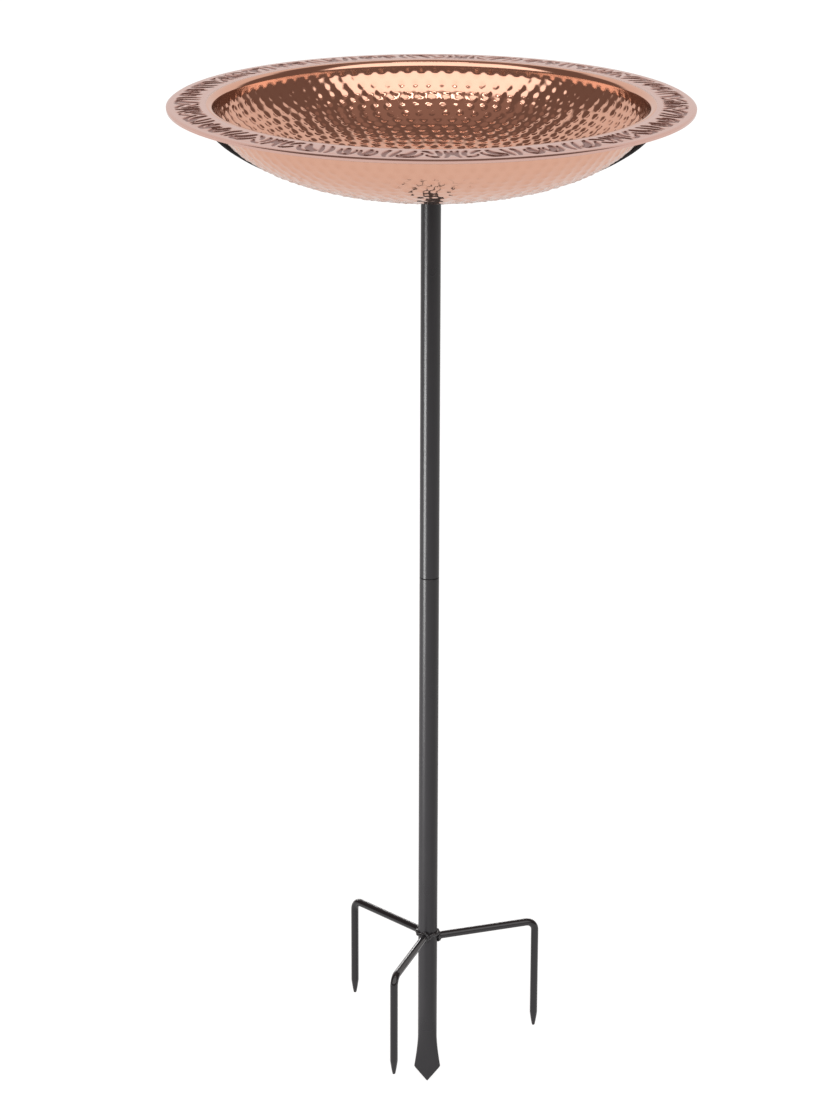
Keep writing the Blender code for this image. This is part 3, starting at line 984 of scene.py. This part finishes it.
def blade_size(above_tip):
    """Half width and half thickness of the lower tube at a height above its tip."""
    pressed = eased((PRESS_START - above_tip) / (PRESS_START - BLADE_SHOULDER))
    half_thickness = TUBE_RADIUS + (BLADE_HALF_THICKNESS - TUBE_RADIUS) * pressed
    flare = min(max((FLARE_START - above_tip) / (FLARE_START - BLADE_SHOULDER), 0.0), 1.0)
    half_width = TUBE_RADIUS + (BLADE_HALF_WIDTH - TUBE_RADIUS) * flare ** 1.5
    if above_tip < BLADE_SHOULDER:
        cut_width = POINT_HALF_WIDTH + BLADE_HALF_WIDTH * above_tip / BLADE_SHOULDER
        half_width = min(BLADE_HALF_WIDTH, cut_width)
        half_thickness = min(half_thickness, POINT_HALF_THICKNESS + above_tip / 4)
    return half_width, half_thickness


def make_lower_pole():
    """Round tube pressed flat into a pointed blade, with its bore and broken upper edge."""
    count = 96
    tip = LOWER_LOW.z
    top = LOWER_HIGH.z
    edge = TUBE_EDGE
    heights = [BLADE_SHOULDER * i / 8 for i in range(8)]
    heights += [BLADE_SHOULDER + (PRESS_START - BLADE_SHOULDER) * i / 48 for i in range(49)]
    heights += [0.12, 0.20, 0.30, 0.40, top - tip - edge]
    points, faces = [], []
    for above_tip in heights:
        half_width, half_thickness = blade_size(above_tip)
        for i in range(count):
            turn = 2 * pi * i / count
            side = max(-1.0, min(1.0, 1.25 * cos(turn)))
            x = (half_width - half_thickness) * side + half_thickness * cos(turn)
            if half_width < half_thickness:
                x = half_width * cos(turn)
            points.append((x, half_thickness * sin(turn), tip + above_tip))
    bore_end = tip + PRESS_START
    upper_rings = [(TUBE_RADIUS - edge, top), (TUBE_BORE + edge, top), (TUBE_BORE, top - edge),
                   (TUBE_BORE, bore_end + 0.001), (TUBE_BORE - 0.001, bore_end)]
    for radius, height in upper_rings:
        points += ring_points(radius, height, count)
    rings = len(heights) + len(upper_rings)
    for ring in range(rings - 1):
        faces += stitch(ring * count, count, (ring + 1) * count, count)
    points += [(0.0, 0.0, tip), (0.0, 0.0, bore_end)]
    faces += stitch(len(points) - 2, 1, 0, count)
    faces += stitch((rings - 1) * count, count, len(points) - 1, 1)
    tube = add_mesh("pole_lower_tube", points, faces)
    face_outwards(tube)
    shade(tube, 32)
    finish_piece(tube, COAT, "ground_stake", "black_paint", "lower_tube")


# ==== prongs ====
def rod_tree():
    """A round rod along a line, bent round at its corner and ground to a taper at its far end."""
    tree, inputs, result = geometry_tree(
        "Bent rod",
        "Radius", "Bend", "Step", "Taper", "Point radius", ("Sides", INT),
    )
    bent = output(tree, "GeometryNodeFilletCurve", {
        "Curve": inputs["Geometry"], "Count": 14, "Radius": inputs["Bend"],
    }, mode="POLY")
    even = even_curve(tree, bent, inputs["Step"])
    along = node(tree, "GeometryNodeSplineParameter").outputs["Length"]
    whole = node(tree, "GeometryNodeSplineLength").outputs["Length"]
    left = calc(tree, "DIVIDE", calc(tree, "SUBTRACT", whole, along), inputs["Taper"])
    left = calc(tree, "POWER", calc(tree, "MINIMUM", left, 1.0), 0.8)
    size = ramp(tree, left, 0.0, 1.0, inputs["Point radius"], inputs["Radius"])
    outline = circle(tree, inputs["Sides"], 1.0)
    rod = output(tree, "GeometryNodeCurveToMesh", {
        "Curve": even, "Profile Curve": outline, "Scale": size, "Fill Caps": True,
    })
    return finish_tree(tree, inputs, result, rod)


def weld_tree():
    """Lumpy beads round each place where a rod meets the pole, and across the pole between the rods."""
    tree, inputs, result = geometry_tree(
        "Weld beads",
        "Ring radius", "Pole radius", "Pole level", "Arc start", "Arc sweep", "Bead gap", "Bead radius",
        "Wander", "Grain", ("Seed", INT),
    )
    place = output(tree, "GeometryNodeInputPosition")
    outward = calc_vector(tree, "MULTIPLY", place, (1.0, 1.0, 0.0))
    facing = output(tree, "FunctionNodeAlignRotationToVector", {"Vector": outward}, axis="Z")
    placed = placed_on(tree, inputs["Geometry"], circle(tree, 64, inputs["Ring radius"]), facing)
    arc = node(tree, "GeometryNodeCurveArc", {
        "Resolution": 64, "Radius": inputs["Pole radius"], "Start Angle": inputs["Arc start"],
        "Sweep Angle": inputs["Arc sweep"],
    }).outputs["Curve"]
    arc = moved_whole(tree, arc, place=joined(tree, z=inputs["Pole level"]))
    beads = output(tree, "GeometryNodeCurveToPoints", {
        "Curve": join_geometry(tree, placed, arc), "Length": inputs["Bead gap"],
    }, mode="LENGTH")
    beads = moved(tree, beads, random_shift(tree, (1.0, 1.0, 1.0), inputs["Seed"], inputs["Wander"]))
    size = times(tree, random_value(tree, *BEAD_SIZES, inputs["Seed"]), inputs["Bead radius"])
    cloud = output(tree, "GeometryNodePointsToVolume", {
        "Points": beads, "Voxel Size": inputs["Grain"], "Radius": size,
    }, resolution_mode="VOXEL_SIZE")
    skin = output(tree, "GeometryNodeVolumeToMesh", {"Volume": cloud, "Threshold": 0.1})
    return finish_tree(tree, inputs, result, skin)


def make_prongs():
    """The three bent rods and the welds that hold them to the pole."""
    rod = rod_tree()
    hubs = []
    for name, degrees, reach, level in PRONGS:
        turn = radians(degrees)
        out_x, out_y = cos(turn), sin(turn)
        point_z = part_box(name)[0].z
        line = [(ROD_START * out_x, ROD_START * out_y, level), (reach * out_x, reach * out_y, level),
                (reach * out_x, reach * out_y, point_z)]
        piece = run_tree(poly_line(name + "_rod", line), rod, {
            "Radius": ROD_RADIUS, "Bend": PRONG_BEND, "Step": ROD_STEP, "Taper": PRONG_POINT,
            "Point radius": PRONG_POINT_RADIUS, "Sides": 32, "Finish": ROD_COAT,
        })
        shade(piece, 45)
        finish_piece(piece, ROD_COAT, "ground_stake", "black_paint", name)
        hubs.append((WELD_HUB_RADIUS * out_x, WELD_HUB_RADIUS * out_y, level))
    welds = run_tree(add_mesh("weld_beads", hubs, []), weld_tree(), {
        "Ring radius": WELD_RING_RADIUS, "Pole radius": WELD_POLE_RADIUS, "Pole level": WELD_LEVEL,
        "Arc start": WELD_ARC_START, "Arc sweep": WELD_ARC_SWEEP, "Bead gap": BEAD_GAP,
        "Bead radius": BEAD_RADIUS, "Wander": BEAD_WANDER, "Grain": WELD_GRAIN, "Seed": WELD_SEED,
        "Finish": ROD_COAT,
    })
    shade(welds)
    finish_piece(welds, ROD_COAT, "ground_stake", "black_paint")


make_basin()
make_flange()
make_rim_wire()
make_stud(
    "bowl_stud_fine", BOWL_STUD_LOW.z, BOWL_STUD_HIGH.z, head=BOWL_STUD_HIGH.x, finish=BRASS, body="bowl",
    slot="brass", cad_node="bowl_stud",
)
make_strap()
make_upper_pole()
make_stud(
    "joint_stud_fine", JOINT_STUD_LOW.z, JOINT_STUD_HIGH.z, head=0.0, finish=ZINC, body="ground_stake",
    slot="steel", cad_node="joint_stud",
)
make_lower_pole()
make_prongs()


# ==== studio ====
LENS = 112.43
CAMERA_PLACE = (0.0, -2.6913, 1.2557)
CAMERA_PITCH = radians(90.0 - 18.87)
CAMERA_YAW = radians(0.163)
CAMERA_ROLL = 0.0035

FLOOR_SIZE = 30.0
FLOOR_PALE = (0.30, 0.30, 0.30)
FLOOR_DARK = (0.06, 0.06, 0.06)
FLOOR_DARK_FROM = -3.4          # the floor's near end, which only the bowl mirrors
FLOOR_LIT_FROM = -2.6
FLOOR_DARK_SHARE = 0.15
FLOOR_GLOW_SEEN = 0.88
FLOOR_GLOW_MIRRORED = 0.54

WHITE = (1.0, 1.0, 1.0)
WARM_SHADE = (1.0, 0.74, 0.66)
ROOM_POWER = 0.16
CEILING_POWER = 0.10
CEILING = (0.90, 9.0, 0.02)     # low and high as the sine of the elevation, and softness
PANELS = (                      # on both sides alike, range of turn, range of height, power
    (False, (radians(-66), radians(60), 0.09), (0.21, 0.91, 0.03), 1.30),
    (True, (radians(125), 9.0, 0.10), (-1.0, 0.72, 0.04), 0.56),
    (False, (radians(-50), radians(50), 0.05), (0.956, 0.976, 0.006), 3.5),
)


def make_camera():
    """Long lens a little above the bowl, looking down at the stake."""
    data = bpy.data.cameras.new("camera")
    data.lens = LENS
    data.sensor_width = 36.0
    data.clip_end = 50.0
    camera = add_object("camera", data)
    turn = Matrix.Identity(4)
    for angle, axis in ((CAMERA_YAW, "Z"), (CAMERA_PITCH, "X"), (CAMERA_ROLL, "Z")):
        turn = turn @ Matrix.Rotation(angle, 4, axis)
    camera.matrix_world = Matrix.Translation(CAMERA_PLACE) @ turn
    SCENE.camera = camera


def mask_band(tree, value, low, high, soft):
    """One between low and high, with soft edges."""
    rising = ramp(tree, value, low - soft, low + soft, kind="SMOOTHSTEP")
    falling = ramp(tree, value, high + soft, high - soft, kind="SMOOTHSTEP")
    return times(tree, rising, falling)


def make_floor():
    """White floor at the stake's tip, far enough out to fill the view.

    The bowl mirrors it dimmer than the camera sees it, and dimmer still beyond its near end.
    """
    level = CAD_BOX[0].z
    corners = [(FLOOR_SIZE * x, FLOOR_SIZE * y, level) for x, y in ((-1, -1), (1, -1), (1, 1), (-1, 1))]
    floor = add_mesh("floor", corners, [(0, 1, 2, 3)])
    made, tree, shader = new_material("white_floor")
    seen = node(tree, "ShaderNodeLightPath").outputs["Is Camera Ray"]
    place = node(tree, "ShaderNodeTexCoord").outputs["Object"]
    lit = ramp(tree, split(tree, place)["Y"], FLOOR_DARK_FROM, FLOOR_LIT_FROM)
    lit = calc(tree, "MAXIMUM", lit, seen)
    tree.links.new(blend_colors(tree, lit, FLOOR_DARK, FLOOR_PALE), shader.inputs["Base Color"])
    shader.inputs["Roughness"].default_value = 0.9
    shader.inputs["Specular IOR Level"].default_value = 0.0
    shader.inputs["Emission Color"].default_value = (1.0, 1.0, 1.0, 1.0)
    glow = ramp(tree, seen, 0.0, 1.0, FLOOR_GLOW_MIRRORED, FLOOR_GLOW_SEEN)
    glow = times(tree, glow, ramp(tree, lit, 0.0, 1.0, FLOOR_DARK_SHARE, 1.0))
    tree.links.new(glow, shader.inputs["Emission Strength"])
    floor.data.materials.append(made)


def make_world():
    """A white studio: broad light in front, paler light behind, a strip overhead, dim sides and ceiling."""
    world = bpy.data.worlds.new("studio")
    SCENE.world = world
    world.use_nodes = True
    tree = world.node_tree
    way = split(tree, node(tree, "ShaderNodeTexCoord").outputs["Generated"])
    turn = calc(tree, "ARCTAN2", way["X"], times(tree, way["Y"], -1.0))
    away = calc(tree, "ABSOLUTE", turn)
    bright = 0.0
    for alike, turns, heights, power in PANELS:
        across = mask_band(tree, away if alike else turn, *turns)
        panel = times(tree, across, mask_band(tree, way["Z"], *heights))
        bright = calc(tree, "ADD", bright, times(tree, panel, power))
    ceiling = mask_band(tree, way["Z"], *CEILING)
    dim = calc(tree, "ADD", times(tree, ceiling, CEILING_POWER), ROOM_POWER)
    seen = node(tree, "ShaderNodeLightPath").outputs["Is Camera Ray"]
    share = calc(tree, "DIVIDE", dim, calc(tree, "ADD", dim, bright))
    share = times(tree, share, calc(tree, "SUBTRACT", 1.0, seen))
    shown = calc(tree, "MAXIMUM", calc(tree, "ADD", dim, bright), seen)
    background = tree.nodes["Background"]
    tree.links.new(shown, background.inputs["Strength"])
    tree.links.new(blend_colors(tree, share, WHITE, WARM_SHADE), background.inputs["Color"])


def add_softbox(name, place, aim, width, height, power, spread, pieces):
    """A soft rectangular lamp that lights only the named pieces."""
    light = bpy.data.lights.new(name, "AREA")
    light.shape = "RECTANGLE"
    light.size = width
    light.size_y = height
    light.energy = power
    light.spread = radians(spread)
    lamp = add_object(name, light)
    lamp.location = place
    lamp.rotation_euler = (Vector(aim) - Vector(place)).to_track_quat("-Z", "Y").to_euler()
    lit = bpy.data.collections.new(name + "_lights")
    for piece in pieces:
        lit.objects.link(bpy.data.objects[piece])
    lamp.light_linking.receiver_collection = lit
    lamp.visible_camera = False


make_camera()
make_floor()
make_world()
add_softbox(
    "softbox_left", place=(-0.848, -0.530, 0.14), aim=(0.0, 0.0, 0.14), width=0.40, height=0.44, power=1.7,
    spread=60.0, pieces=("pole_upper_tube", "pole_lower_tube"),
)
add_softbox(
    "softbox_behind", place=(0.0, 1.20, 0.42), aim=(0.0, 0.0, 0.0), width=1.40, height=0.07, power=3.2,
    spread=180.0, pieces=(*[name + "_rod" for name, *_ in PRONGS], "weld_beads"),
)
SCENE.view_settings.view_transform = "Standard"
